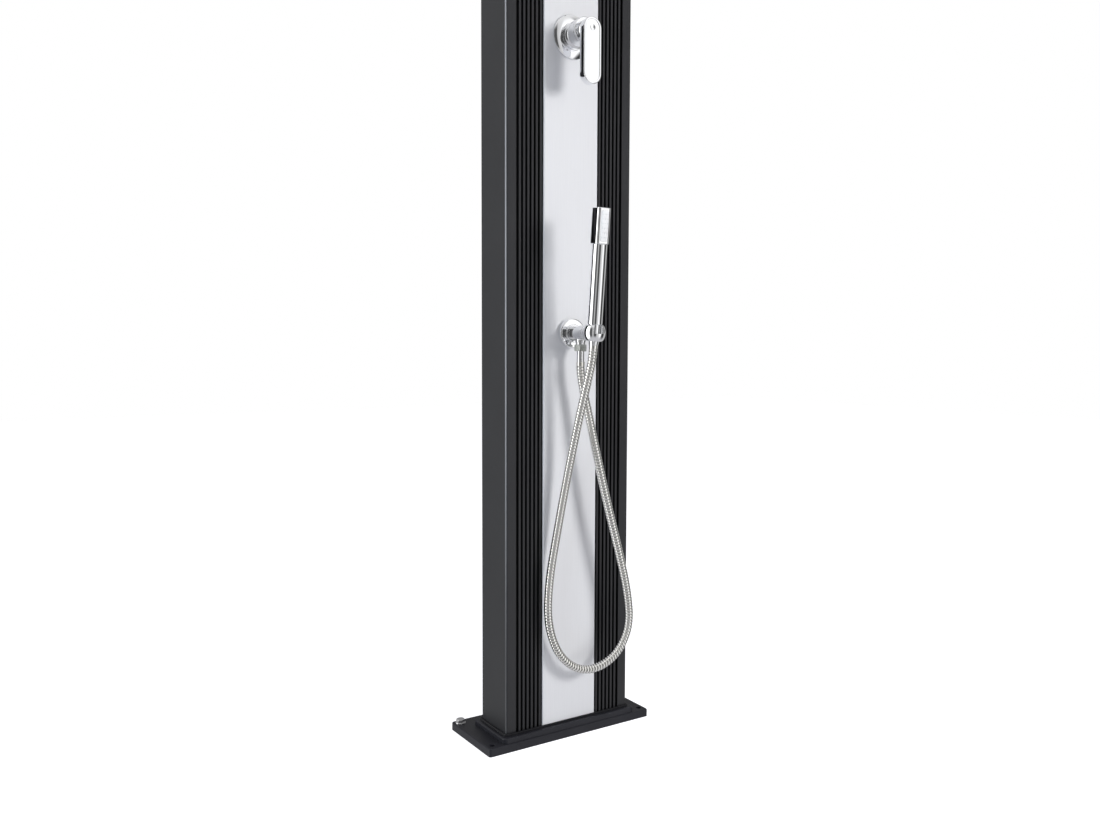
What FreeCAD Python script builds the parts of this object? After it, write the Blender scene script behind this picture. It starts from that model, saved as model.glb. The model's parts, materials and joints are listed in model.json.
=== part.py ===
import FreeCAD, Part
import math
import os

# Outdoor shower post: a floor-standing column of aluminium extrusions on a steel
# base plate, with a mixer, a diverter, a hand shower on a wall outlet and a rain
# head. Millimetres. The origin is on the floor under the middle of the column,
# the front looks along -Y and +Z is up.

V = FreeCAD.Vector
UP = V(0, 0, 1)
OUT = V(0, -1, 0)

# ---- column section and height ----
POST_WIDTH = 240.0
POST_DEPTH = 81.0
POST_TOP = 2100.0
WALL = 2.4
CORNER_R = 3.0
STRIP_WIDTH = 18.0
FRONT_Y = -POST_DEPTH / 2
BACK_Y = POST_DEPTH / 2
HALF_W = POST_WIDTH / 2
STRIP_X = HALF_W - STRIP_WIDTH

# ---- ribbed band between the side strip and the centre panel ----
RIB_COUNT = 6
RIB_WIDTH = 3.7
GROOVE_WIDTH = 4.0
FIRST_GROOVE = 5.0
RIB_DEPTH = 4.2
WEB = 1.8
WEB_FRONT_Y = FRONT_Y + RIB_DEPTH
WEB_BACK_Y = WEB_FRONT_Y + WEB
WEB_INNER_X = 48.0
WEB_OUTER_X = 107.8
LEG_BACK_Y = -31.5

# ---- centre panel and the channel behind it ----
PANEL_HALF = 52.0
PANEL_PROUD = 1.2
PANEL_SHEET = 2.0
PANEL_BEVEL = 1.1
PANEL_LEG_X = 50.6
CHANNEL_HALF = 47.0
CHANNEL_SHEET = 2.0
CHANNEL_LEG = 8.7
PANEL_FRONT_Y = FRONT_Y - PANEL_PROUD
PANEL_BACK_Y = PANEL_FRONT_Y + PANEL_SHEET
CHANNEL_BACK_Y = PANEL_BACK_Y + CHANNEL_SHEET

# ---- fits and fixings ----
FIT_GAP = 0.2
HOLE_GAP = 0.3
SCREW_R = 2.0
SCREW_HOLE_R = 2.15
BOLT_R = 4.0
BOLT_HOLE_R = 4.2
BOLT_FLATS = 13.0
BOLT_HEAD = 5.4

# ---- rear sheet ----
SEAM = 0.2
LEDGE = 2.0
LEDGE_X = 92.0
BACK_SCREW_X = 97.0
BACK_SCREW_Z = (120.0, 590.0, 1060.0, 1530.0, 2000.0)

# ---- base ----
BASE_HALF = 158.0
BASE_FRONT_Y = -54.7
BASE_REAR_Y = 78.3
BASE_THICK = 13.0
BASE_CORNER_R = 4.0
BASE_CHAMFER = 1.5
ANCHOR_X = 147.0
ANCHOR_FRONT_Y = -42.0
ANCHOR_REAR_Y = 66.0
ANCHOR_HOLE_R = 4.5
COLLAR_HALF_X = 130.0
COLLAR_HALF_Y = 52.0
COLLAR_TOP = 22.0
COLLAR_R = 8.0
SEAL_MARGIN = 4.0
SEAL_TOP = 25.0
BRACKET_INNER_X = 82.0
BRACKET_HALF_Y = 25.0
BRACKET_TOP = 78.0
BRACKET_SHEET = 4.0
BRACKET_FOOT = 6.0
BRACKET_BOLT_X = 95.0
BRACKET_BOLT_Y = 14.0
WASHER_R = 8.5
WASHER_THICK = 1.6

# ---- plumbing inside ----
PIPE_R = 7.5
PIPE_BORE_R = 6.5
PIPE_BEND = 20.0
BAY_Y = -19.0
BAY_HALF = 80.0
BAY_FRONT_Y = -28.5
SOCKET_R = 9.5
PORT_REACH = 30.0
BLOCK_BACK_OFF = FRONT_Y + 9.0
SHANK_R = 10.4
NUT_ACROSS = 27.0
NUT_THICK = 6.0
INLET_Z = 90.0
INLET_R = 10.48
INLET_BORE_R = 8.0
INLET_PIN = 14.0
INLET_FLANGE = 6.0
TEE_R = 11.0
TEE_HALF = 18.0
TEE_SIDE = 24.0
TANK_HALF = 96.5
TANK_FRONT_Y = -8.0
TANK_BACK_Y = 33.5
TANK_BOTTOM = 140.0
TANK_TOP = 2010.0
TANK_WALL = 3.0
TANK_CORNER_R = 12.0
TANK_PORT_X = -60.0
TANK_PORT_Y = 12.0
SHELF_HALF = 112.0
SHELF_THICK = 8.0
FRAME_Z = (480.0, 900.0, 1480.0, 1880.0)
FRAME_HEIGHT = 14.0

# ---- mixer ----
MIXER_Z = 1135.0
SLEEVE_R = 21.0
SLEEVE_OFF = 36.2
SLEEVE_BORE_R = 17.8
PIVOT_OFF = 36.0
BALL_R = 15.0
LEVER_HALF = 16.25
LEVER_TIP_Z = 1050.0
LEVER_BACK_OFF = 48.0
LEVER_FRONT_OFF = 60.0
LEVER_RECESS = 0.8
PORT_X = 30.0
MIXED_REACH = 37.0

# ---- diverter ----
DIVERTER_Z = 1270.0
DIVERTER_R = 15.5
SIDE_REACH = 32.0
KNOB_R = 19.0
KNOB_BACK_OFF = 22.6
KNOB_FRONT_OFF = 43.0
FLUTE_COUNT = 12
FLUTE_R = 2.6
STEM_R = 5.0
SQUARE_HALF = 3.0
SQUARE_OFF = 34.0

# ---- outlet, cradle and hand shower ----
OUTLET_Z = 666.0
FEED_X = 64.0
FEED_REACH = 22.0
ARM_R = 12.25
ESCUTCHEON_R = 24.0
ESCUTCHEON_OFF = 9.8
ESCUTCHEON_EDGE = 2.4
SPIGOT_OFF = 30.0
SPIGOT_END_Z = 647.7
NUT_BOTTOM_Z = 637.2
NUT_FLATS = 18.0
NUT_TURN = 48.0
HOSE_START_Z = 620.0
CRADLE_OFF = 67.5
CRADLE_SEAM_OFF = 47.0
CRADLE_R = 18.0
CRADLE_END_R = 14.8
CRADLE_HALF = 12.5
CONE_TOP_R = 10.1
CONE_BOTTOM_R = 9.0
CONE_SLOPE = (CONE_TOP_R - CONE_BOTTOM_R) / (2 * CRADLE_HALF)
CONE_GAP = 0.3
SLOT_HALF = 7.5
JAW_R = 5.0
LEAN = 5.6
HANDSET_R = 11.9
HANDSET_FOOT = 13.0
HEAD_FOOT = 137.0
HEAD_TOP = 192.0
HEAD_HALF = 12.0
HEAD_FRONT = 9.8
HEAD_REAR = 12.4
HEAD_CORNER_R = 5.0
SPRAY_HALF = 6.8
SPRAY_MARGIN = 4.2
SPRAY_DEPTH = 1.6
SPRAY_PROUD = 1.4
SPRAY_CROWN_R = 24.0
CONE_TIP = -19.0

# ---- hose ----
HOSE_D = 14.0
HOSE_ROUTE = [
    (0, -70.5, 620),
    (0, -70.5, 600),
    (9.5, -69, 565),
    (20.5, -68, 525),
    (33.5, -67, 477),
    (57, -66, 391),
    (83, -66, 303),
    (101, -67, 235),
    (106, -68.5, 175.5),
    (83.5, -70, 134),
    (41.5, -72, 112),
    (-5, -73.5, 117.5),
    (-43.5, -75, 150),
    (-65, -76, 205),
    (-63, -77, 275),
    (-49, -79, 352),
    (-34, -82.5, 434),
    (-24, -86.5, 488),
    (-16.5, -91, 530),
    (-9.5, -95.5, 568),
    (-3.5, -100, 601),
]
HOSE_LAST_RUN = 20.0

# ---- shower arm and rain head ----
ARM_Z = 2035.0
ARM_TUBE_R = 11.0
ARM_BORE_R = 9.0
ARM_REACH = 150.0
ARM_BEND = 40.0
ELBOW_REACH = 23.0
STUB_OFF = 14.0
ARM_END_Z = 1984.0
BALL_Z = 1960.0
JOINT_BALL_R = 10.0
SEAT_R = 12.2
SOCKET_CAVITY_R = 12.5
RAIN_R = 100.0
RAIN_BOTTOM = 1928.0
PLATE_THICK = 3.0
RAIN_WALL = 2.0
HUB_R = 18.0
NOZZLE_RINGS = 4
NOZZLE_PITCH = 22.0
NOZZLE_R = 2.4


# ---- shape helpers ----

def block(x0, x1, y0, y1, z0, z1):
    """Box between two corners."""
    return Part.makeBox(x1 - x0, y1 - y0, z1 - z0, V(x0, y0, z0))


def rounded_block(x0, x1, y0, y1, z0, z1, radius):
    """Upright box with rounded vertical corners."""
    corners = [(x0, y0), (x1, y0), (x1, y1), (x0, y1)]
    return prism(rounded_polygon(corners, radius), z0, z1)


def rounded_polygon(corners, radius):
    """Closed wire at z = 0 through the corners, each rounded by a tangent arc."""
    count = len(corners)
    edges = []
    ends = []
    for i in range(count):
        before = V(*corners[i - 1], 0)
        here = V(*corners[i], 0)
        after = V(*corners[(i + 1) % count], 0)
        first = (before - here).normalize()
        second = (after - here).normalize()
        half = first.getAngle(second) / 2
        reach = radius / math.tan(half)
        middle = (first + second).normalize() * (radius / math.sin(half) - radius)
        start = here + first * reach
        end = here + second * reach
        edges.append(Part.Arc(start, here + middle, end).toShape())
        ends.append((start, end))
    for i in range(count):
        edges.append(Part.makeLine(ends[i][1], ends[(i + 1) % count][0]))
    return Part.Wire(Part.__sortEdges__(edges))


def prism(wire, z0, z1):
    """Upright solid on a closed flat wire drawn at z = 0."""
    solid = Part.Face(wire).extrude(V(0, 0, z1 - z0))
    solid.translate(V(0, 0, z0))
    return solid


def polygon(points):
    """Closed wire at z = 0 through (x, y) points."""
    corners = [V(x, y, 0) for x, y in points]
    return Part.makePolygon(corners + corners[:1])


def aim(shape, origin, axis):
    """Turn a shape made about +Z so that it stands on origin along axis."""
    shape.Placement = FreeCAD.Placement(origin, FreeCAD.Rotation(UP, axis))
    return shape


def turned(profile, origin, axis):
    """Revolve an (r, h) outline about its axis. A row of four is an arc: a point on it, its end."""
    edges = []
    here = V(profile[0][0], 0, profile[0][1])
    for row in profile[1:] + profile[:1]:
        end = V(row[-2], 0, row[-1])
        if len(row) == 4:
            edges.append(Part.Arc(here, V(row[0], 0, row[1]), end).toShape())
        elif here.distanceToPoint(end) > 1e-6:
            edges.append(Part.makeLine(here, end))
        here = end
    solid = Part.Face(Part.Wire(edges)).revolve(V(0, 0, 0), UP, 360)
    return aim(solid, origin, axis)


def rod(radius, start, end):
    """Round bar from one point to another."""
    span = end - start
    return Part.makeCylinder(radius, span.Length, start, span)


def hexagon(flats, length, origin, axis, first_corner=30.0):
    """Hexagonal prism with its flats a given width apart, its first corner at an angle."""
    radius = flats / math.sqrt(3)
    points = []
    for i in range(6):
        angle = math.radians(60 * i + first_corner)
        points.append((radius * math.cos(angle), radius * math.sin(angle)))
    return aim(prism(polygon(points), 0, length), origin, axis)


def front(x, z, off=0.0):
    """Point a distance out from the front face of the column."""
    return V(x, FRONT_Y - off, z)


def bent_path(points, bend=None):
    """Straight runs joined by tangent arcs; without a bend radius each arc is as large as fits."""
    corners = [V(*p) for p in points]
    edges = []
    radii = []
    here = corners[0]
    for i in range(1, len(corners) - 1):
        back = corners[i - 1] - corners[i]
        ahead = corners[i + 1] - corners[i]
        shorter = min(back.Length, ahead.Length)
        turn = math.pi - back.getAngle(ahead)
        radius = bend if bend else 0.45 * shorter / math.tan(turn / 2)
        reach = radius * math.tan(turn / 2)
        back.normalize()
        ahead.normalize()
        start = corners[i] + back * reach
        end = corners[i] + ahead * reach
        inward = (back + ahead).normalize()
        middle = corners[i] + inward * (radius / math.cos(turn / 2) - radius)
        edges.append(Part.LineSegment(here, start).toShape())
        edges.append(Part.Arc(start, middle, end).toShape())
        radii.append(radius)
        here = end
    edges.append(Part.LineSegment(here, corners[-1]).toShape())
    return Part.Wire(edges), radii


def swept(wire, radius):
    """Round bar along a smooth wire."""
    start = wire.Edges[0].Vertexes[0].Point
    along = wire.Edges[0].tangentAt(wire.Edges[0].FirstParameter)
    section = Part.Wire(Part.Circle(start, along, radius).toShape())
    return wire.makePipeShell([section], True, True)


def pipe(points, bend=PIPE_BEND, radius=PIPE_R, bore=PIPE_BORE_R):
    """Bent water pipe with an open bore."""
    wire = bent_path(points, bend)[0]
    return swept(wire, radius).cut(swept(wire, bore))


def top_edges(shape):
    """Edges that lie in the highest plane of a shape."""
    top = max(v.Z for v in shape.Vertexes)
    return [e for e in shape.Edges if min(v.Z for v in e.Vertexes) > top - 0.01]


def rear_hole(radius, x, z):
    """Cutter along Y through whatever lies at the rear face of the column."""
    return rod(radius, V(x, BACK_Y - 10, z), V(x, BACK_Y + 10, z))


def mirrored(shape):
    """The same piece for the other side of the column."""
    return shape.mirror(V(0, 0, 0), V(1, 0, 0))


# ---- column ----

def side_profile():
    """Left side extrusion: side wall, front strip with its lip, rear return with its ledge."""
    outer = rounded_block(-HALF_W, HALF_W, FRONT_Y, BACK_Y, BASE_THICK, POST_TOP, CORNER_R)
    inner = rounded_block(-HALF_W + WALL, HALF_W - WALL, FRONT_Y + WALL, BACK_Y - WALL,
                          BASE_THICK, POST_TOP, CORNER_R - WALL)
    keep = block(-HALF_W, -STRIP_X, FRONT_Y, BACK_Y, BASE_THICK, POST_TOP)
    shell = outer.cut(inner).common(keep)
    lip = block(-STRIP_X - WALL, -STRIP_X, FRONT_Y + WALL, WEB_FRONT_Y, BASE_THICK, POST_TOP)
    rail = block(-WEB_OUTER_X - FIT_GAP - WEB, -WEB_OUTER_X - FIT_GAP,
                 FRONT_Y + WALL, LEG_BACK_Y, BASE_THICK, POST_TOP)
    ledge = block(-HALF_W + WALL, -LEDGE_X, BACK_Y - WALL - LEDGE, BACK_Y - WALL,
                  BASE_THICK, POST_TOP)
    profile = shell.fuse([lip, rail, ledge]).removeSplitter()
    return profile.cut([rear_hole(SCREW_HOLE_R, -BACK_SCREW_X, z) for z in BACK_SCREW_Z])


def ribbed_panel():
    """Left ribbed extrusion: a web with six ribs, a hidden margin each side and a rear leg."""
    points = [(-WEB_OUTER_X, WEB_FRONT_Y)]
    x = -STRIP_X + FIRST_GROOVE
    for _ in range(RIB_COUNT):
        points += [(x, WEB_FRONT_Y), (x, FRONT_Y), (x + RIB_WIDTH, FRONT_Y),
                   (x + RIB_WIDTH, WEB_FRONT_Y)]
        x += RIB_WIDTH + GROOVE_WIDTH
    points += [(-WEB_INNER_X, WEB_FRONT_Y), (-WEB_INNER_X, WEB_BACK_Y),
               (-WEB_OUTER_X + WEB, WEB_BACK_Y), (-WEB_OUTER_X + WEB, LEG_BACK_Y),
               (-WEB_OUTER_X, LEG_BACK_Y)]
    return prism(polygon(points), BASE_THICK, POST_TOP)


def fitting_holes():
    """Round holes that the front fittings pass through the panel and its channel by."""
    sizes = ((OUTLET_Z, SHANK_R), (MIXER_Z, SLEEVE_R), (DIVERTER_Z, DIVERTER_R),
             (ARM_Z, SHANK_R))
    return [rod(radius + HOLE_GAP, front(0, z, 5), front(0, z, -15)) for z, radius in sizes]


def front_panel():
    """Proud centre panel: a sheet with bevelled long edges and two legs onto the ribbed webs."""
    points = [
        (-PANEL_HALF, PANEL_BACK_Y), (-PANEL_HALF, PANEL_FRONT_Y + PANEL_BEVEL),
        (-PANEL_HALF + PANEL_BEVEL, PANEL_FRONT_Y), (PANEL_HALF - PANEL_BEVEL, PANEL_FRONT_Y),
        (PANEL_HALF, PANEL_FRONT_Y + PANEL_BEVEL), (PANEL_HALF, PANEL_BACK_Y),
        (PANEL_LEG_X, PANEL_BACK_Y), (PANEL_LEG_X, WEB_FRONT_Y),
        (PANEL_LEG_X - WEB, WEB_FRONT_Y), (PANEL_LEG_X - WEB, PANEL_BACK_Y),
        (-PANEL_LEG_X + WEB, PANEL_BACK_Y), (-PANEL_LEG_X + WEB, WEB_FRONT_Y),
        (-PANEL_LEG_X, WEB_FRONT_Y), (-PANEL_LEG_X, PANEL_BACK_Y),
    ]
    return prism(polygon(points), BASE_THICK, POST_TOP).cut(fitting_holes())


def mounting_channel():
    """Channel behind the centre panel that carries the fittings."""
    inner = CHANNEL_HALF - CHANNEL_SHEET
    leg_y = CHANNEL_BACK_Y + CHANNEL_LEG
    points = [
        (-CHANNEL_HALF, PANEL_BACK_Y), (CHANNEL_HALF, PANEL_BACK_Y), (CHANNEL_HALF, leg_y),
        (inner, leg_y), (inner, CHANNEL_BACK_Y), (-inner, CHANNEL_BACK_Y),
        (-inner, leg_y), (-CHANNEL_HALF, leg_y),
    ]
    return prism(polygon(points), BASE_THICK, POST_TOP).cut(fitting_holes())


def back_panel():
    """Rear sheet between the two side returns, drilled for its screws and the water inlet."""
    half = STRIP_X - SEAM
    sheet = block(-half, half, BACK_Y - WALL, BACK_Y, BASE_THICK, POST_TOP)
    holes = [rear_hole(INLET_R + HOLE_GAP, 0, INLET_Z)]
    for x in (-BACK_SCREW_X, BACK_SCREW_X):
        for z in BACK_SCREW_Z:
            holes.append(rear_hole(SCREW_HOLE_R, x, z))
    return sheet.cut(holes)


def back_panel_screws():
    """Button-head screws with a hexagon socket, ten in two columns."""
    head_r = 3.9
    head = 2.4
    rim = 0.6
    socket_flats = 2.5
    shank = WALL + LEDGE + 3
    profile = [(0, -shank), (SCREW_R, -shank), (SCREW_R, 0), (head_r, 0), (head_r, rim),
               (0.72 * head_r, 0.86 * head, 0, head)]
    screws = []
    for x in (-BACK_SCREW_X, BACK_SCREW_X):
        for z in BACK_SCREW_Z:
            screw = turned(profile, V(x, BACK_Y, z), V(0, 1, 0))
            socket = hexagon(socket_flats, head, V(x, BACK_Y + 1, z), V(0, 1, 0))
            screws.append(screw.cut(socket))
    return Part.makeCompound(screws)


def top_cap():
    """Moulded cap: rounded lid that overhangs the section, hollow over the rim that plugs in."""
    overhang = 1.5
    front_overhang = 2.5
    corner_r = 5.0
    edge_r = 4.0
    skin = 3.0
    plug_half = 100.0
    plug_front = -28.0
    plug_back = 34.0
    plug_bottom = POST_TOP - 12.0
    lid_top = POST_TOP + 16.0
    lid = rounded_block(-HALF_W - overhang, HALF_W + overhang, FRONT_Y - front_overhang,
                        BACK_Y + overhang, POST_TOP, lid_top, corner_r)
    lid = lid.makeFillet(edge_r, top_edges(lid))
    rim = block(-plug_half, plug_half, plug_front, plug_back, plug_bottom, POST_TOP)
    hollow = block(-plug_half + skin, plug_half - skin, plug_front + skin, plug_back - skin,
                   plug_bottom, lid_top - skin)
    return lid.fuse(rim).cut(hollow).removeSplitter()


# ---- base ----

def base_plate():
    """Floor plate with a chamfered top edge, four anchor holes and four blind bolt holes."""
    blind_floor = 2.0
    above = BASE_THICK + 1
    plate = rounded_block(-BASE_HALF, BASE_HALF, BASE_FRONT_Y, BASE_REAR_Y, 0, BASE_THICK,
                          BASE_CORNER_R)
    plate = plate.makeChamfer(BASE_CHAMFER, top_edges(plate))
    holes = []
    for x in (-ANCHOR_X, ANCHOR_X):
        for y in (ANCHOR_FRONT_Y, ANCHOR_REAR_Y):
            holes.append(rod(ANCHOR_HOLE_R, V(x, y, -1), V(x, y, above)))
    for x, y in bracket_bolt_places():
        holes.append(rod(BOLT_HOLE_R, V(x, y, blind_floor), V(x, y, above)))
    return plate.cut(holes)


def post_opening(z0, z1):
    """Room for the column section through a piece that surrounds it."""
    return rounded_block(-HALF_W - FIT_GAP, HALF_W + FIT_GAP, PANEL_FRONT_Y - FIT_GAP,
                         BACK_Y + FIT_GAP, z0, z1, CORNER_R)


def base_collar():
    """Low plinth round the foot of the column, with a rounded top edge."""
    edge_r = 2.5
    ring = rounded_block(-COLLAR_HALF_X, COLLAR_HALF_X, -COLLAR_HALF_Y, COLLAR_HALF_Y,
                         BASE_THICK, COLLAR_TOP, COLLAR_R)
    ring = ring.makeFillet(edge_r, top_edges(ring))
    return ring.cut(post_opening(BASE_THICK - 1, COLLAR_TOP + 1))


def post_seal():
    """Soft bead between the collar and the column."""
    edge_r = 1.2
    bead = rounded_block(-HALF_W - SEAL_MARGIN, HALF_W + SEAL_MARGIN, FRONT_Y - SEAL_MARGIN,
                         BACK_Y + SEAL_MARGIN, COLLAR_TOP, SEAL_TOP, CORNER_R + SEAL_MARGIN)
    bead = bead.makeFillet(edge_r, top_edges(bead))
    return bead.cut(post_opening(COLLAR_TOP - 1, SEAL_TOP + 1))


def bracket_bolt_places():
    """Where the foot brackets are bolted to the plate."""
    return [(x, y) for x in (-BRACKET_BOLT_X, BRACKET_BOLT_X)
            for y in (-BRACKET_BOLT_Y, BRACKET_BOLT_Y)]


def foot_brackets():
    """Two angle brackets that tie the side walls to the plate."""
    wall_x = HALF_W - WALL
    upright = block(-wall_x, -wall_x + BRACKET_SHEET, -BRACKET_HALF_Y, BRACKET_HALF_Y,
                    BASE_THICK, BRACKET_TOP)
    foot = block(-wall_x, -BRACKET_INNER_X, -BRACKET_HALF_Y, BRACKET_HALF_Y,
                 BASE_THICK, BASE_THICK + BRACKET_FOOT)
    bracket = upright.fuse(foot).removeSplitter()
    holes = [rod(BOLT_HOLE_R, V(x, y, 0), V(x, y, BRACKET_TOP)) for x, y in bracket_bolt_places()]
    bracket = bracket.cut(holes)
    return Part.makeCompound([bracket, mirrored(bracket)])


def foot_bracket_bolts():
    """Four hexagon bolts down through the brackets."""
    shank_end = 3.0
    top = BASE_THICK + BRACKET_FOOT
    bolts = []
    for x, y in bracket_bolt_places():
        head = hexagon(BOLT_FLATS, BOLT_HEAD, V(x, y, top), UP)
        shank = rod(BOLT_R, V(x, y, shank_end), V(x, y, top))
        bolts.append(head.fuse(shank).removeSplitter())
    return Part.makeCompound(bolts)


def anchor_washer():
    """Washer under the fitted anchor bolt, at the rear left hole."""
    edge = 0.3
    place = V(-ANCHOR_X, ANCHOR_REAR_Y, BASE_THICK)
    profile = [(BOLT_HOLE_R, 0), (WASHER_R, 0), (WASHER_R, WASHER_THICK - edge),
               (WASHER_R - edge, WASHER_THICK), (BOLT_HOLE_R, WASHER_THICK)]
    return turned(profile, place, UP)


def anchor_bolt():
    """Hexagon bolt with a chamfered head; its shank ends inside the plate."""
    shank_end = 1.0
    corner_r = BOLT_FLATS / math.sqrt(3)
    flat_r = BOLT_FLATS / 2 - 0.3
    place = V(-ANCHOR_X, ANCHOR_REAR_Y, BASE_THICK + WASHER_THICK)
    envelope = turned([(0, 0), (corner_r, 0), (corner_r, BOLT_HEAD - 1.2), (flat_r, BOLT_HEAD),
                       (0, BOLT_HEAD)], place, UP)
    head = hexagon(BOLT_FLATS, BOLT_HEAD, place, UP).common(envelope)
    shank = rod(BOLT_R, V(-ANCHOR_X, ANCHOR_REAR_Y, shank_end), place)
    return head.fuse(shank).removeSplitter()


# ---- water side, inside the column ----

def inner_tank():
    """Blow-moulded tank that the sun warms, with a port at each end."""
    outer = rounded_block(-TANK_HALF, TANK_HALF, TANK_FRONT_Y, TANK_BACK_Y,
                          TANK_BOTTOM, TANK_TOP, TANK_CORNER_R)
    inner = rounded_block(-TANK_HALF + TANK_WALL, TANK_HALF - TANK_WALL,
                          TANK_FRONT_Y + TANK_WALL, TANK_BACK_Y - TANK_WALL,
                          TANK_BOTTOM + TANK_WALL, TANK_TOP - TANK_WALL,
                          TANK_CORNER_R - TANK_WALL)
    return outer.cut(inner)


def tank_shelf():
    """Shelf that the tank stands on, cut away in front for the pipes."""
    low = TANK_BOTTOM - SHELF_THICK
    shelf = block(-SHELF_HALF, SHELF_HALF, BAY_FRONT_Y, 34, low, TANK_BOTTOM)
    bay = block(-BAY_HALF, BAY_HALF, BAY_FRONT_Y, TANK_FRONT_Y - 1, low, TANK_BOTTOM)
    port = rod(PIPE_R + 0.5, V(TANK_PORT_X, TANK_PORT_Y, low),
               V(TANK_PORT_X, TANK_PORT_Y, TANK_BOTTOM))
    return shelf.cut([bay, port])


def tank_frames():
    """Spacer frames that hold the tank and the side profiles apart."""
    frames = []
    for z in FRAME_Z:
        top = z + FRAME_HEIGHT
        frame = block(-SHELF_HALF, SHELF_HALF, BAY_FRONT_Y, 36, z, top)
        tank = rounded_block(-TANK_HALF - FIT_GAP, TANK_HALF + FIT_GAP, TANK_FRONT_Y - FIT_GAP,
                             TANK_BACK_Y + FIT_GAP, z - 1, top + 1, TANK_CORNER_R)
        bay = block(-BAY_HALF, BAY_HALF, BAY_FRONT_Y, 20, z, top)
        frames.append(frame.cut([tank, bay]))
    return Part.makeCompound(frames)


def inlet_fitting():
    """Rear water inlet: male thread outside, flange, shank through the sheet and tail to the tee."""
    flange_r = 16.0
    tail = 12.0 - BACK_Y
    thread_end = -10.0
    bore_end = -20.0
    pin_end = INLET_FLANGE + INLET_PIN
    profile = [(0, tail), (SOCKET_R, tail), (SOCKET_R, thread_end), (INLET_R, thread_end),
               (INLET_R, 0), (flange_r, 0), (flange_r, INLET_FLANGE - 1),
               (flange_r - 1, INLET_FLANGE), (INLET_R, INLET_FLANGE), (INLET_R, pin_end),
               (INLET_BORE_R, pin_end), (INLET_BORE_R, bore_end), (0, bore_end)]
    return turned(profile, V(0, BACK_Y, INLET_Z), V(0, 1, 0))


def inlet_tee():
    """Tee that feeds the riser and the tank."""
    middle = V(0, BAY_Y, INLET_Z)
    stem = rod(TEE_R, V(0, BAY_Y, INLET_Z - TEE_HALF), V(0, BAY_Y, INLET_Z + TEE_HALF))
    rear = rod(TEE_R, middle, V(0, 12, INLET_Z))
    left = rod(SOCKET_R, middle, V(-TEE_SIDE, BAY_Y, INLET_Z))
    return stem.fuse([rear, left]).removeSplitter()


def backnuts():
    """Hexagon nuts that clamp the inlet and the outlet from inside."""
    inlet = hexagon(NUT_ACROSS, NUT_THICK, V(0, BACK_Y - WALL, INLET_Z), OUT)
    inlet = inlet.cut(rear_hole(INLET_R + 0.05, 0, INLET_Z))
    outlet = hexagon(NUT_ACROSS, NUT_THICK, V(0, CHANNEL_BACK_Y, OUTLET_Z), V(0, 1, 0))
    outlet = outlet.cut(rod(SHANK_R + 0.05, front(0, OUTLET_Z, 5), front(0, OUTLET_Z, -20)))
    return Part.makeCompound([inlet, outlet])


def cold_riser():
    """Pipe from the tee up the left of the bay, crossing under the mixer to its right port."""
    return pipe([(0, BAY_Y, INLET_Z + TEE_HALF), (0, BAY_Y, 160), (-PORT_X, BAY_Y, 205),
                 (-PORT_X, BAY_Y, MIXER_Z - 135), (PORT_X, BAY_Y, MIXER_Z - 75),
                 (PORT_X, BAY_Y, MIXER_Z - PORT_REACH)])


def tank_feed_pipe():
    """Pipe from the tee to the port under the tank."""
    return pipe([(-TEE_SIDE, BAY_Y, INLET_Z), (TANK_PORT_X, BAY_Y, INLET_Z),
                 (TANK_PORT_X, TANK_PORT_Y, INLET_Z),
                 (TANK_PORT_X, TANK_PORT_Y, TANK_BOTTOM)], 12)


def hot_pipe():
    """Pipe from the top of the tank down the left of the bay to the mixer."""
    over = TANK_TOP + 35
    return pipe([(TANK_PORT_X, TANK_PORT_Y, TANK_TOP), (TANK_PORT_X, TANK_PORT_Y, over),
                 (TANK_PORT_X, BAY_Y, over), (TANK_PORT_X, BAY_Y, MIXER_Z + 105),
                 (-PORT_X, BAY_Y, MIXER_Z + 70), (-PORT_X, BAY_Y, MIXER_Z + PORT_REACH)], 15)


def upright_pipe(z0, z1):
    """Straight pipe up the middle of the bay."""
    ends = V(0, BAY_Y, z0), V(0, BAY_Y, z1)
    return rod(PIPE_R, *ends).cut(rod(PIPE_BORE_R, *ends))


def mixed_pipe():
    """Short pipe from the mixer up to the diverter."""
    return upright_pipe(MIXER_Z + MIXED_REACH, DIVERTER_Z - PORT_REACH)


def head_riser():
    """Pipe from the diverter up to the arm."""
    return upright_pipe(DIVERTER_Z + PORT_REACH, ARM_Z - ELBOW_REACH)


def hand_feed_pipe():
    """Pipe from the diverter down the right of the bay to the outlet of the hand shower."""
    return pipe([(SIDE_REACH, BAY_Y, DIVERTER_Z), (FEED_X, BAY_Y, DIVERTER_Z),
                 (FEED_X, BAY_Y, OUTLET_Z), (FEED_REACH, BAY_Y, OUTLET_Z)])


# ---- mixer ----

def mixer_escutcheon():
    """Domed cover ring on the panel round the mixer."""
    bore = SLEEVE_R + FIT_GAP
    profile = [(bore, PANEL_PROUD), (35, PANEL_PROUD), (35, 3.2), (34.2, 4.2),
               (29, 6.6, 24.5, 7.6), (bore, 7.6)]
    return turned(profile, front(0, MIXER_Z), OUT)


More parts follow.
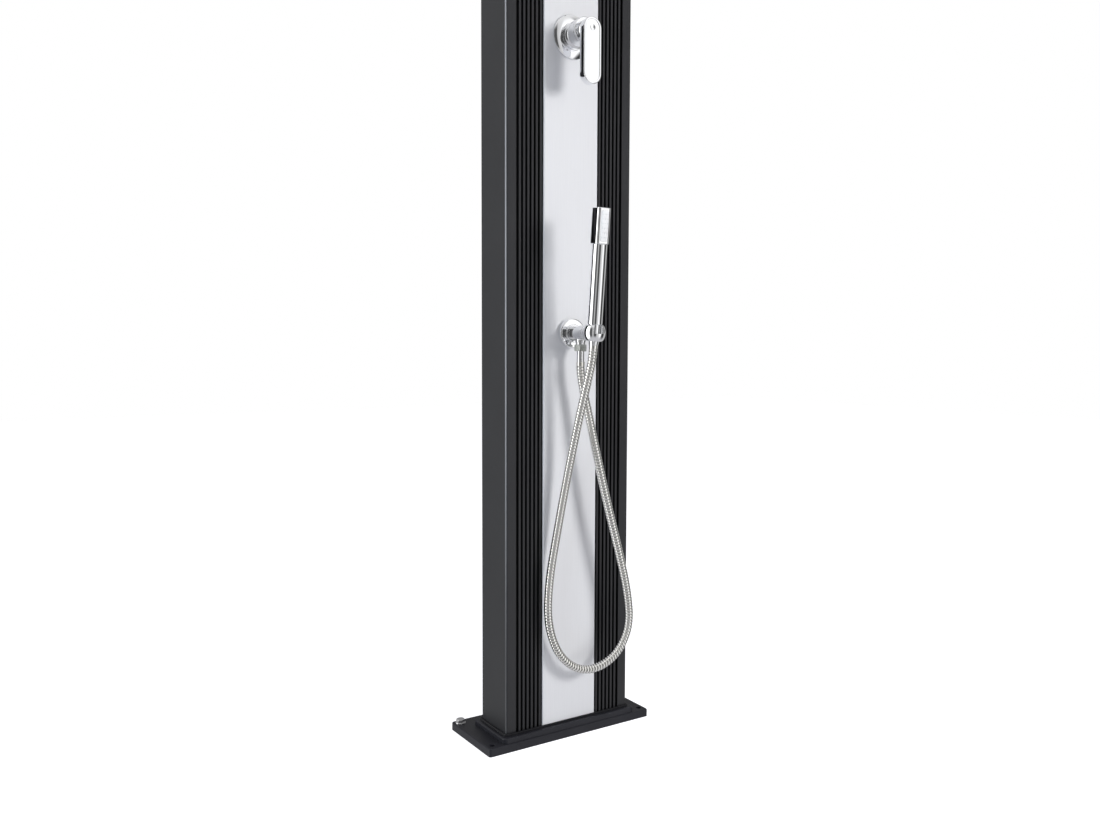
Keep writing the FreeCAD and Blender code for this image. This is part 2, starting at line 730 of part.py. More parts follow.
def mixer_body():
    """Brass body: block and three sockets behind the panel, bored sleeve in front of it."""
    block_r = 23.0
    floor_off = 4.0
    inside = FRONT_Y - CHANNEL_BACK_Y
    profile = [(0, BLOCK_BACK_OFF), (block_r, BLOCK_BACK_OFF), (block_r, inside),
               (SLEEVE_R, inside), (SLEEVE_R, SLEEVE_OFF), (SLEEVE_BORE_R, SLEEVE_OFF),
               (SLEEVE_BORE_R, floor_off), (0, floor_off)]
    body = turned(profile, front(0, MIXER_Z), OUT)
    left = V(-PORT_X, BAY_Y, MIXER_Z)
    right = V(PORT_X, BAY_Y, MIXER_Z)
    bar = rod(SOCKET_R, left, right)
    cold = rod(SOCKET_R, right - UP * PORT_REACH, right + UP * SOCKET_R)
    hot = rod(SOCKET_R, left - UP * SOCKET_R, left + UP * PORT_REACH)
    mixed = rod(SOCKET_R, V(0, BAY_Y, MIXER_Z), V(0, BAY_Y, MIXER_Z + MIXED_REACH))
    return body.fuse([bar, cold, hot, mixed]).removeSplitter()


def mixer_cartridge():
    """Ceramic cartridge at the bottom of the sleeve."""
    profile = [(0, 4.1), (17.5, 4.1), (17.5, 20), (0, 20)]
    return turned(profile, front(0, MIXER_Z), OUT)


def cartridge_ring():
    """Threaded ring that holds the cartridge down."""
    profile = [(9, 20.1), (17.6, 20.1), (17.6, 23.8), (9, 23.8)]
    return turned(profile, front(0, MIXER_Z), OUT)


def mixer_collar():
    """Ring that turns with the lever on the end of the sleeve, seated round the lever's ball."""
    profile = [(0, 36.6), (SLEEVE_R, 36.6), (SLEEVE_R, 40.2), (SLEEVE_R - 0.8, 41), (0, 41)]
    ring = turned(profile, front(0, MIXER_Z), OUT)
    return ring.cut(Part.makeSphere(BALL_R + 0.4, front(0, MIXER_Z, PIVOT_OFF)))


def lever_outline(inset):
    """Outline of the lever seen from the front: straight sides and two half-round ends."""
    half = LEVER_HALF - inset
    low = LEVER_TIP_Z + LEVER_HALF
    edges = [
        Part.makeLine(V(-half, 0, MIXER_Z), V(-half, 0, low)),
        Part.Arc(V(-half, 0, low), V(0, 0, low - half), V(half, 0, low)).toShape(),
        Part.makeLine(V(half, 0, low), V(half, 0, MIXER_Z)),
        Part.Arc(V(half, 0, MIXER_Z), V(0, 0, MIXER_Z + half), V(-half, 0, MIXER_Z)).toShape(),
    ]
    return Part.Wire(edges)


def lever_slab(inset, off0, off1):
    """Slab of the lever's outline between two distances from the column."""
    slab = Part.Face(lever_outline(inset)).extrude(V(0, off0 - off1, 0))
    slab.translate(V(0, FRONT_Y - off0, 0))
    return slab


def mixer_lever():
    """Flat lever that hangs down from the mixer, with a raised border and a ball behind it."""
    plate = lever_slab(0, LEVER_BACK_OFF, LEVER_FRONT_OFF)
    front_y = FRONT_Y - LEVER_FRONT_OFF
    rim = [e for e in plate.Edges if max(v.Y for v in e.Vertexes) < front_y + 0.01]
    plate = plate.makeFillet(1.2, rim)
    plate = plate.cut(lever_slab(3.4, LEVER_FRONT_OFF - LEVER_RECESS, LEVER_FRONT_OFF + 1))
    ball = Part.makeSphere(BALL_R, front(0, MIXER_Z, PIVOT_OFF))
    zone = rod(30, front(0, MIXER_Z, 29), front(0, MIXER_Z, LEVER_BACK_OFF + 0.5))
    neck = rod(11, front(0, MIXER_Z, PIVOT_OFF), front(0, MIXER_Z, LEVER_BACK_OFF + 1))
    return plate.fuse([ball.common(zone), neck]).removeSplitter()


def lever_cap():
    """Small plug over the lever's screw."""
    radius = 4.5
    off = LEVER_FRONT_OFF - LEVER_RECESS
    return turned([(0, off), (radius, off), (radius, off + 0.5), (0, off + 0.9)],
                  front(0, MIXER_Z), OUT)


# ---- diverter ----

def diverter_escutcheon():
    """Cover ring on the panel round the diverter."""
    bore = DIVERTER_R + FIT_GAP
    profile = [(bore, PANEL_PROUD), (25, PANEL_PROUD), (25, 2.8), (22.5, 4.8, 18, 5.6),
               (bore, 5.6)]
    return turned(profile, front(0, DIVERTER_Z), OUT)


def diverter_body():
    """Valve body with three sockets, and the sleeve that the stem turns in."""
    block_r = 17.0
    sleeve_off = 22.0
    floor_off = 4.0
    bore = STEM_R + 0.05
    inside = FRONT_Y - CHANNEL_BACK_Y
    profile = [(0, BLOCK_BACK_OFF), (block_r, BLOCK_BACK_OFF), (block_r, inside),
               (DIVERTER_R, inside), (DIVERTER_R, sleeve_off - 1), (DIVERTER_R - 1, sleeve_off),
               (bore, sleeve_off), (bore, floor_off), (0, floor_off)]
    body = turned(profile, front(0, DIVERTER_Z), OUT)
    middle = V(0, BAY_Y, DIVERTER_Z)
    upright = rod(SOCKET_R, middle - UP * PORT_REACH, middle + UP * PORT_REACH)
    side = rod(SOCKET_R, middle, middle + V(SIDE_REACH, 0, 0))
    return body.fuse([upright, side]).removeSplitter()


def stem_square(back_off):
    """Square end of the stem, or the socket for it, out to its front end."""
    return block(-SQUARE_HALF, SQUARE_HALF, FRONT_Y - SQUARE_OFF, FRONT_Y - back_off,
                 DIVERTER_Z - SQUARE_HALF, DIVERTER_Z + SQUARE_HALF)


def diverter_stem():
    """Round stem that turns in the sleeve, with a square end in the knob."""
    stem = rod(STEM_R, front(0, DIVERTER_Z, 4.5), front(0, DIVERTER_Z, KNOB_BACK_OFF))
    return stem.fuse(stem_square(KNOB_BACK_OFF)).removeSplitter()


def diverter_knob():
    """Fluted knob with a pointer rib on its face."""
    profile = [(0, KNOB_BACK_OFF), (KNOB_R - 1, KNOB_BACK_OFF), (KNOB_R, KNOB_BACK_OFF + 1),
               (KNOB_R, KNOB_FRONT_OFF - 3),
               (KNOB_R - 1, KNOB_FRONT_OFF - 0.8, KNOB_R - 3.4, KNOB_FRONT_OFF),
               (0, KNOB_FRONT_OFF)]
    knob = turned(profile, front(0, DIVERTER_Z), OUT)
    reach = KNOB_R + 1.2
    flutes = []
    for i in range(FLUTE_COUNT):
        angle = 2 * math.pi * (i + 0.5) / FLUTE_COUNT
        x = reach * math.cos(angle)
        z = DIVERTER_Z + reach * math.sin(angle)
        flutes.append(rod(FLUTE_R, front(x, z, KNOB_BACK_OFF + 4.4), front(x, z, KNOB_FRONT_OFF)))
    socket = stem_square(KNOB_BACK_OFF - 0.6)
    pointer = block(-1.5, 1.5, FRONT_Y - KNOB_FRONT_OFF - 1.2, FRONT_Y - KNOB_FRONT_OFF + 1,
                    DIVERTER_Z + 3, DIVERTER_Z + 14)
    return knob.cut(flutes + [socket]).fuse(pointer).removeSplitter()


# ---- outlet and cradle ----

def outlet_escutcheon():
    """Cup-shaped cover ring on the panel, with a rounded rim and a low collar round the arm."""
    bore = ARM_R + 0.1
    collar = bore + 2.2
    shoulder = ESCUTCHEON_OFF - ESCUTCHEON_EDGE
    flat = ESCUTCHEON_R - ESCUTCHEON_EDGE
    bulge = ESCUTCHEON_EDGE * math.cos(math.pi / 4)
    profile = [(bore, PANEL_PROUD), (ESCUTCHEON_R, PANEL_PROUD), (ESCUTCHEON_R, shoulder),
               (flat + bulge, shoulder + bulge, flat, ESCUTCHEON_OFF),
               (collar, ESCUTCHEON_OFF), (collar, ESCUTCHEON_OFF + 1.6),
               (collar - 0.6, ESCUTCHEON_OFF + 2.2), (bore, ESCUTCHEON_OFF + 2.2)]
    return turned(profile, front(0, OUTLET_Z), OUT)


def outlet_body():
    """Outlet arm with its threaded shank behind the panel and the hose spigot under it."""
    shank_end = -30.0
    edge = 0.4
    profile = [(0, shank_end), (SHANK_R, shank_end), (SHANK_R, PANEL_PROUD),
               (ARM_R, PANEL_PROUD), (ARM_R, CRADLE_SEAM_OFF - edge),
               (ARM_R - edge, CRADLE_SEAM_OFF), (0, CRADLE_SEAM_OFF)]
    arm = turned(profile, front(0, OUTLET_Z), OUT)
    root = front(0, OUTLET_Z, SPIGOT_OFF)
    spigot = rod(7.6, front(0, SPIGOT_END_Z, SPIGOT_OFF), root)
    collar = rod(8.6, front(0, SPIGOT_END_Z + 3.7, SPIGOT_OFF), root)
    feed = rod(SOCKET_R, V(0, BAY_Y, OUTLET_Z), V(FEED_REACH, BAY_Y, OUTLET_Z))
    return arm.fuse([spigot, collar, feed]).removeSplitter()


def cradle_frame(shape):
    """Move a shape from the hand shower's own leaning axes to its place on the cradle."""
    lean = math.radians(LEAN)
    axis = V(0, -math.sin(lean), math.cos(lean))
    return aim(shape, front(0, OUTLET_Z, CRADLE_OFF), axis)


def slot_cutter():
    """Plan of the cradle's slot: parallel sides that open out round the jaw tips."""
    jaw_y = -9.0
    past_y = -30.0
    flare = SLOT_HALF + JAW_R
    eighth = JAW_R * math.cos(math.pi / 4)
    right = [Part.makeLine(V(SLOT_HALF, 0, 0), V(SLOT_HALF, jaw_y, 0)),
             Part.Arc(V(SLOT_HALF, jaw_y, 0), V(flare - eighth, jaw_y - eighth, 0),
                      V(flare, jaw_y - JAW_R, 0)).toShape(),
             Part.makeLine(V(flare, jaw_y - JAW_R, 0), V(flare, past_y, 0))]
    left = [edge.mirror(V(0, 0, 0), V(1, 0, 0)) for edge in right]
    ends = [Part.makeLine(V(-SLOT_HALF, 0, 0), V(SLOT_HALF, 0, 0)),
            Part.makeLine(V(-flare, past_y, 0), V(flare, past_y, 0))]
    wire = Part.Wire(Part.__sortEdges__(left + right + ends))
    return prism(wire, -CRADLE_R, CRADLE_R)


def handset_cradle():
    """Barrel-shaped cradle: conical bore, slot for the hose and rounded jaw tips."""
    edge = 0.9
    barrel = turned([
        (0, -CRADLE_HALF), (CRADLE_END_R - edge, -CRADLE_HALF),
        (CRADLE_END_R, -CRADLE_HALF + edge),
        (CRADLE_R, 0, CRADLE_END_R, CRADLE_HALF - edge),
        (CRADLE_END_R - edge, CRADLE_HALF), (0, CRADLE_HALF)], V(0, 0, 0), UP)
    past = 4.0
    bore = Part.makeCone(CONE_BOTTOM_R - past * CONE_SLOPE, CONE_TOP_R + past * CONE_SLOPE,
                         2 * (CRADLE_HALF + past), V(0, 0, -CRADLE_HALF - past))
    barrel = cradle_frame(barrel)
    neck = rod(ARM_R - 0.4, front(0, OUTLET_Z, CRADLE_SEAM_OFF), front(0, OUTLET_Z, 58))
    cutters = [cradle_frame(bore), cradle_frame(slot_cutter())]
    return barrel.fuse(neck).cut(cutters).removeSplitter()


# ---- hand shower ----

def cone_nut():
    """Conical end piece that seats in the cradle and holds the end of the hose."""
    top_r = CONE_BOTTOM_R + CONE_SLOPE * (HANDSET_FOOT + CRADLE_HALF) - CONE_GAP
    low_r = CONE_BOTTOM_R - CONE_GAP
    profile = [(0, CONE_TIP), (7.2, CONE_TIP), (7.6, CONE_TIP + 0.6),
               (low_r, -CRADLE_HALF), (top_r, HANDSET_FOOT), (0, HANDSET_FOOT)]
    return cradle_frame(turned(profile, V(0, 0, 0), UP))


def handset_tube():
    """Straight chromed grip with a small chamfer at each end."""
    edge = 0.8
    profile = [(0, HANDSET_FOOT), (HANDSET_R - edge, HANDSET_FOOT),
               (HANDSET_R, HANDSET_FOOT + edge), (HANDSET_R, HEAD_FOOT - edge),
               (HANDSET_R - edge, HEAD_FOOT), (0, HEAD_FOOT)]
    return cradle_frame(turned(profile, V(0, 0, 0), UP))


def handset_head():
    """Box with rounded corners and softened ends, let in at the front for the spray plate."""
    head = rounded_block(-HEAD_HALF, HEAD_HALF, -HEAD_FRONT, HEAD_REAR, HEAD_FOOT, HEAD_TOP,
                         HEAD_CORNER_R)
    ends = [e for e in head.Edges if e.BoundBox.ZLength < 0.01]
    head = head.makeFillet(1.2, ends)
    return cradle_frame(head.cut(spray_slab(-HEAD_FRONT + SPRAY_DEPTH, -HEAD_FRONT - 1, 0.1)))


def spray_slab(y_back, y_front, grow=0.0):
    """Rounded slab across the face of the head, between two depths."""
    half = SPRAY_HALF + grow
    low = HEAD_FOOT + SPRAY_MARGIN - grow
    high = HEAD_TOP - SPRAY_MARGIN + grow
    wire = rounded_polygon([(-half, low), (half, low), (half, high), (-half, high)], 3)
    slab = Part.Face(wire).extrude(V(0, 0, y_back - y_front))
    turn = FreeCAD.Rotation(V(1, 0, 0), 90)
    slab.Placement = FreeCAD.Placement(V(0, y_back, 0), turn)
    return slab


def spray_crown(x):
    """How far the crowned spray plate stands out from the hand shower's axis."""
    drop = SPRAY_CROWN_R - math.sqrt(SPRAY_CROWN_R ** 2 - x ** 2)
    return HEAD_FRONT + SPRAY_PROUD - drop


def spray_plate():
    """Pale spray plate let into the head, gently crowned."""
    slab = spray_slab(-HEAD_FRONT + SPRAY_DEPTH, -HEAD_FRONT - SPRAY_PROUD - 1)
    middle = V(0, SPRAY_CROWN_R - spray_crown(0), HEAD_FOOT)
    crown = Part.makeCylinder(SPRAY_CROWN_R, HEAD_TOP - HEAD_FOOT, middle, UP)
    return cradle_frame(slab.common(crown))


def spray_nozzles():
    """Three columns of short nozzles, each rooted a little way into the spray plate."""
    root = 0.3
    reach = 0.8
    nozzles = []
    for x in (-4.4, 0, 4.4):
        for row in range(6):
            z = HEAD_FOOT + 10 + 7 * row
            nozzles.append(rod(0.9, V(x, root - spray_crown(x), z),
                               V(x, -reach - spray_crown(x), z)))
    return cradle_frame(Part.makeCompound(nozzles))


# ---- hose ----

def hose_nut():
    """Hexagon nut of the hose on the spigot, its ends turned down at the corners."""
    corner_r = NUT_FLATS / math.sqrt(3)
    end_r = NUT_FLATS / 2 + 0.2
    length = SPIGOT_END_Z - NUT_BOTTOM_Z
    place = front(0, NUT_BOTTOM_Z, SPIGOT_OFF)
    nut = hexagon(NUT_FLATS, length, place, UP, NUT_TURN)
    envelope = turned([(0, 0), (end_r, 0), (corner_r, 0.9), (corner_r, length - 0.9),
                       (end_r, length), (0, length)], place, UP)
    bore = rod(6.05, front(0, NUT_BOTTOM_Z - 1, SPIGOT_OFF), front(0, SPIGOT_END_Z, SPIGOT_OFF))
    return nut.common(envelope).cut(bore)


def hose_ferrule():
    """Plain ferrule between the nut and the ribbed hose."""
    top = SPIGOT_END_Z - 1
    place = front(0, HOSE_START_Z, SPIGOT_OFF)
    return turned([(0, 0), (6, 0), (6, top - HOSE_START_Z), (0, top - HOSE_START_Z)], place, UP)


def on_handset_axis(height):
    """Point on the hand shower's leaning axis, at a height above the cradle's middle."""
    lean = math.radians(LEAN)
    return (0, FRONT_Y - CRADLE_OFF - height * math.sin(lean), OUTLET_Z + height * math.cos(lean))


def shower_hose():
    """Free hose from the ferrule down, round its loop and up to the cone nut."""
    ends = [on_handset_axis(CONE_TIP - HOSE_LAST_RUN), on_handset_axis(CONE_TIP)]
    wire, radii = bent_path(HOSE_ROUTE + ends)
    hose = swept(wire, HOSE_D / 2)
    ideal = math.pi * (HOSE_D / 2) ** 2 * wire.Length
    print("hose radii", [round(r) for r in radii])
    print("hose length %.1f, volume over section x length %.4f"
          % (wire.Length, hose.Volume / ideal))
    return hose


# ---- shower arm and rain head ----

def arm_escutcheon():
    """Domed cover ring at the root of the arm."""
    bore = SHANK_R + FIT_GAP
    profile = [(bore, PANEL_PROUD), (30, PANEL_PROUD), (30, 3.0), (29.2, 3.8),
               (24, 7.6, 15.5, 9), (bore, 9)]
    return turned(profile, front(0, ARM_Z), OUT)


def arm_elbow():
    """Elbow behind the panel with the threaded stub that the arm screws on."""
    socket = rod(TEE_R, V(0, BAY_Y, ARM_Z - ELBOW_REACH), V(0, BAY_Y, ARM_Z + TEE_R))
    stub = rod(SHANK_R, V(0, BAY_Y, ARM_Z), front(0, ARM_Z, STUB_OFF))
    return socket.fuse(stub).removeSplitter()


def shower_arm():
    """Arm out of the panel, bent down to the joint, with a collar at its root."""
    wire = bent_path([(0, FRONT_Y - STUB_OFF, ARM_Z), (0, FRONT_Y - ARM_REACH, ARM_Z),
                      (0, FRONT_Y - ARM_REACH, ARM_END_Z)], ARM_BEND)[0]
    tube = swept(wire, ARM_TUBE_R).cut(swept(wire, ARM_BORE_R))
    bore = SHANK_R + 0.05
    inside = ARM_TUBE_R - 0.5
    collar = turned([(bore, 9), (14, 9), (14, 22), (12.8, 24), (inside, 24), (inside, STUB_OFF),
                     (bore, STUB_OFF)], front(0, ARM_Z), OUT)
    return tube.fuse(collar).removeSplitter()


def joint_place(z=BALL_Z):
    """Point on the upright axis of the rain head's joint."""
    return V(0, FRONT_Y - ARM_REACH, z)


def ball_stud():
    """Nut on the end of the arm with the ball that the head hangs from."""
    neck_r = 6.0
    nut_r = 14.0
    nut_low = 14.0
    top = ARM_END_Z - BALL_Z
    profile = [(0, 0), (neck_r, 0), (neck_r, nut_low), (nut_r - 1, nut_low),
               (nut_r, nut_low + 1), (nut_r, top), (0, top)]
    stud = turned(profile, joint_place(), UP)
    return stud.fuse(Part.makeSphere(JOINT_BALL_R, joint_place())).removeSplitter()


def ball_seat():
    """Nylon ring between the ball and the socket of the head."""
    below = 4.5
    height = 8.0
    shell = Part.makeSphere(SEAT_R, joint_place())
    shell = shell.cut(Part.makeSphere(JOINT_BALL_R + 0.25, joint_place()))
    zone = Part.makeCylinder(SEAT_R + 1, height, joint_place(BALL_Z - below), UP)
    return shell.common(zone)


def rain_head_shell():
    """Shallow shell: socket hub, sloping back over the water chamber, rim round the plate."""
    base = RAIN_BOTTOM - BALL_Z
    rim_top = base + 8
    back_top = -17.0
    back_root = HUB_R + 6
    inner_r = RAIN_R - 6
    ledge_r = RAIN_R - 3
    fall = (back_top - rim_top) * (inner_r - back_root) / (ledge_r - back_root)
    profile = [
        (0, back_top - RAIN_WALL), (back_root, back_top - RAIN_WALL),
        (inner_r, back_top - RAIN_WALL - fall), (inner_r, base + PLATE_THICK),
        (ledge_r, base + PLATE_THICK), (ledge_r, base), (RAIN_R, base), (RAIN_R, base + 5),
        (RAIN_R - 0.6, base + 7.2, ledge_r, rim_top),
        (back_root, back_top), (HUB_R + 2, -16, HUB_R, -12), (HUB_R, 5.5), (HUB_R - 1.5, 7), (0, 7),
    ]
    shell = turned(profile, joint_place(), UP)
    cavity = Part.makeSphere(SOCKET_CAVITY_R, joint_place())
    mouth = Part.makeCone(9.4, 10.6, 9, joint_place(), UP)
    return shell.cut([cavity, mouth])


def nozzle_places():
    """Concentric rings of nozzles round the one in the middle."""
    places = [(0.0, 0.0)]
    for ring in range(1, NOZZLE_RINGS):
        for i in range(6 * ring):
            angle = 2 * math.pi * i / (6 * ring)
            places.append((NOZZLE_PITCH * ring * math.cos(angle),
                           NOZZLE_PITCH * ring * math.sin(angle)))
    return places


def rain_nozzle_plate():
    """Round plate let into the underside of the head."""
    radius = RAIN_R - 3 - FIT_GAP
    return Part.makeCylinder(radius, PLATE_THICK - 0.1, joint_place(RAIN_BOTTOM), UP)


def rain_nozzles():
    """Soft nozzles under the plate, each a short cone."""
    nozzles = []
    tip_r = 1.4
    reach = 2.6
    for x, y in nozzle_places():
        place = joint_place(RAIN_BOTTOM) + V(x, y, 0)
        nozzles.append(Part.makeCone(NOZZLE_R, tip_r, reach, place, UP * -1))
    return Part.makeCompound(nozzles)


# ---- every piece of the shower ----

def pieces():
    """Name and solid of each piece."""
    left_side = side_profile()
    left_ribs = ribbed_panel()
    return {
        "base_plate": base_plate(),
        "base_collar": base_collar(),
        "post_seal": post_seal(),
        "foot_brackets": foot_brackets(),
        "foot_bracket_bolts": foot_bracket_bolts(),
        "anchor_washer": anchor_washer(),
        "anchor_bolt": anchor_bolt(),
        "left_side_profile": left_side,
        "right_side_profile": mirrored(left_side),
        "left_ribbed_panel": left_ribs,
        "right_ribbed_panel": mirrored(left_ribs),
        "front_panel": front_panel(),
        "mounting_channel": mounting_channel(),
        "back_panel": back_panel(),
        "back_panel_screws": back_panel_screws(),
        "top_cap": top_cap(),
        "inner_tank": inner_tank(),
        "tank_shelf": tank_shelf(),
        "tank_frames": tank_frames(),
        "inlet_fitting": inlet_fitting(),
        "inlet_tee": inlet_tee(),
        "backnuts": backnuts(),
        "cold_riser": cold_riser(),
        "tank_feed_pipe": tank_feed_pipe(),
        "hot_pipe": hot_pipe(),
        "mixed_pipe": mixed_pipe(),
        "head_riser": head_riser(),
        "hand_feed_pipe": hand_feed_pipe(),
        "mixer_escutcheon": mixer_escutcheon(),
        "mixer_body": mixer_body(),
        "mixer_cartridge": mixer_cartridge(),
        "cartridge_ring": cartridge_ring(),
        "mixer_collar": mixer_collar(),
        "mixer_lever": mixer_lever(),
        "lever_cap": lever_cap(),
        "diverter_escutcheon": diverter_escutcheon(),
        "diverter_body": diverter_body(),
        "diverter_stem": diverter_stem(),
        "diverter_knob": diverter_knob(),
        "outlet_escutcheon": outlet_escutcheon(),
        "outlet_body": outlet_body(),
        "handset_cradle": handset_cradle(),
        "hose_nut": hose_nut(),
        "hose_ferrule": hose_ferrule(),
        "shower_hose": shower_hose(),
        "cone_nut": cone_nut(),
        "handset_tube": handset_tube(),
        "handset_head": handset_head(),
        "spray_plate": spray_plate(),
        "spray_nozzles": spray_nozzles(),
        "arm_escutcheon": arm_escutcheon(),
        "arm_elbow": arm_elbow(),
        "shower_arm": shower_arm(),
        "ball_stud": ball_stud(),
        "ball_seat": ball_seat(),
        "rain_head_shell": rain_head_shell(),
        "rain_nozzle_plate": rain_nozzle_plate(),
        "rain_nozzles": rain_nozzles(),
    }


os.makedirs("parts", exist_ok=True)
for name, shape in pieces().items():
    shape.exportStep("parts/%s.step" % name)
    solids = shape.Solids
    sound = shape.isValid() and all(s.isClosed() for s in solids)
    print("%-22s %2d solid(s) %10.0f mm3%s"
          % (name, len(solids), shape.Volume, "" if sound else "  NOT SOUND"))
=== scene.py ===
import json
import math

import bmesh
import bpy
from mathutils import Matrix, Quaternion, Vector


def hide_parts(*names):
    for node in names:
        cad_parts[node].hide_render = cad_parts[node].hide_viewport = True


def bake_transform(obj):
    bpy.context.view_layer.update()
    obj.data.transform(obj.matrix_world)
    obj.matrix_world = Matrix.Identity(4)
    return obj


# Outdoor shower post: an anthracite column with a satin silver front panel, chrome
# fittings and a ribbed metal hose. Metres, in the frame of the solids: origin on the
# floor under the column, front along -Y, +Z up.

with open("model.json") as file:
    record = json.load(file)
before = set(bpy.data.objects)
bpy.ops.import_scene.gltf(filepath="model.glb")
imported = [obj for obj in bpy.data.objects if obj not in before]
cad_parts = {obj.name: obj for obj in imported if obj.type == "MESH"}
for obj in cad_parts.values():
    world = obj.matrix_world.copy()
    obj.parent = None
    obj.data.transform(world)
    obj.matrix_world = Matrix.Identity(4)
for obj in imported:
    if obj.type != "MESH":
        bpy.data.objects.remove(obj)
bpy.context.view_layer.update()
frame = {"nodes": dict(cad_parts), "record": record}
NODES = frame["nodes"]

# ---- camera, as fitted to the column's edges in the photograph; angles in degrees ----
PHOTO_WIDTH = 1100
FOCAL_PIXELS = 939.7
SENSOR_WIDTH = 36.0
CAMERA_PLACE = (-0.859, -1.310, 0.641)
CAMERA_YAW = 32.88
CAMERA_DOWN = 3.85
CAMERA_ROLL = 0.16

# ---- hose: diameter, pitch and seam of its interlocked strip, crimped sleeves ----
HOSE_D = 0.014
HOSE_R = HOSE_D / 2
HOSE_PITCH = 0.0049
HOSE_GROOVE = 0.0014
SEAM_SHARPNESS = 0.42
HOSE_SLEEVE = 0.006
HOSE_SIDES = 28
RINGS_PER_PITCH = 10

# From the spigot down the right strand, which stands out from the panel, round the
# bottom of the loop and up the left strand to the conical end of the hand shower.
HOSE_ROUTE = [
    (0, -0.0705, 0.620),
    (0, -0.0705, 0.600),
    (0.008, -0.071, 0.565),
    (0.0165, -0.074, 0.5255),
    (0.0255, -0.078, 0.4785),
    (0.0445, -0.083, 0.3945),
    (0.068, -0.086, 0.3085),
    (0.0855, -0.087, 0.2415),
    (0.092, -0.087, 0.1825),
    (0.074, -0.0825, 0.139),
    (0.0395, -0.075, 0.1135),
    (-0.0005, -0.067, 0.1145),
    (-0.0345, -0.061, 0.1445),
    (-0.0535, -0.058, 0.1985),
    (-0.0505, -0.058, 0.2695),
    (-0.037, -0.061, 0.348),
    (-0.0245, -0.0685, 0.4315),
    (-0.017, -0.0765, 0.4865),
    (-0.012, -0.0845, 0.5295),
    (-0.007, -0.092, 0.568),
    (-0.0025, -0.0985, 0.601),
    (0, -0.1042, 0.6272),
    (0, -0.10615, 0.6471),
]

# ---- places on the column's skin, as ranges over which the powder coat's painted shade and painted highlight change ----
RIBS_END_X = (0.1040, 0.1050)
CREST_TO_GROOVE_Y = (-0.0402, -0.0385)
CORNER_X = (0.1188, 0.1194)
CORNER_Y = (-0.0377, -0.0364)
HIGHLIGHT_FADE_Z = (0.15, 0.65)

# ---- studio: what polished metal reflects, as (bearing in degrees, brightness) ----
# Bearings run from -Y towards +X. Above and below the bands are ceiling and ground,
# which blend in over a range of the direction's rise or fall.
STUDIO_PEAK = 3.0
STUDIO = [
    (-180, 0.30),
    (-158, 0.30),
    (-147, 0.60),
    (-128, 1.00),
    (-118, 2.80),
    (-98, 2.80),
    (-86, 1.10),
    (-79, 0.10),
    (-59, 0.10),
    (-54, 0.50),
    (-43, 0.50),
    (-38, 0.08),
    (-15, 0.08),
    (-10, 0.60),
    (12, 0.75),
    (20, 1.15),
    (37, 1.15),
    (43, 0.30),
    (49, 0.05),
    (76, 0.05),
    (82, 0.50),
    (110, 0.50),
    (128, 0.22),
    (165, 0.30),
]
CEILING = (0.80, 0.80, 0.80)
CEILING_RISE = (0.45, 0.85)
GROUND = (0.55, 0.55, 0.57)
GROUND_FALL = (0.35, 0.75)

# ---- light on the object, and the floor ----
AMBIENT = 0.24
AMBIENT_COLOUR = (0.97, 0.98, 1.0)
WHITE = (1, 1, 1)
FLOOR_HALF = 8.0
FLOOR_DROP = 0.0002
FLOOR_COLOUR = (0.62, 0.62, 0.68)
FLOOR_GLOW = 0.87

# Name, place, point aimed at, size, watts and colour: the key from the right in front,
# a cool fill from the left and a soft lamp overhead.
LAMPS = [
    ("key", (1.70, -2.52, 1.45), (0, 0, 0.7), 0.8, 72, WHITE),
    ("fill", (-2.3, -0.7, 0.45), (0, 0, 0.4), 1.2, 26, (0.80, 0.90, 1.0)),
    ("top", (-0.9, -0.4, 3.4), (0, 0, 0), 1.6, 24, WHITE),
]


# ---- shader helpers ----

def math_node(tree, operation, first, second=0.0):
    """Math node whose inputs are sockets or plain numbers."""
    made = tree.nodes.new("ShaderNodeMath")
    made.operation = operation
    for socket, value in zip(made.inputs, (first, second)):
        if isinstance(value, (int, float)):
            socket.default_value = value
        else:
            tree.links.new(value, socket)
    return made.outputs[0]


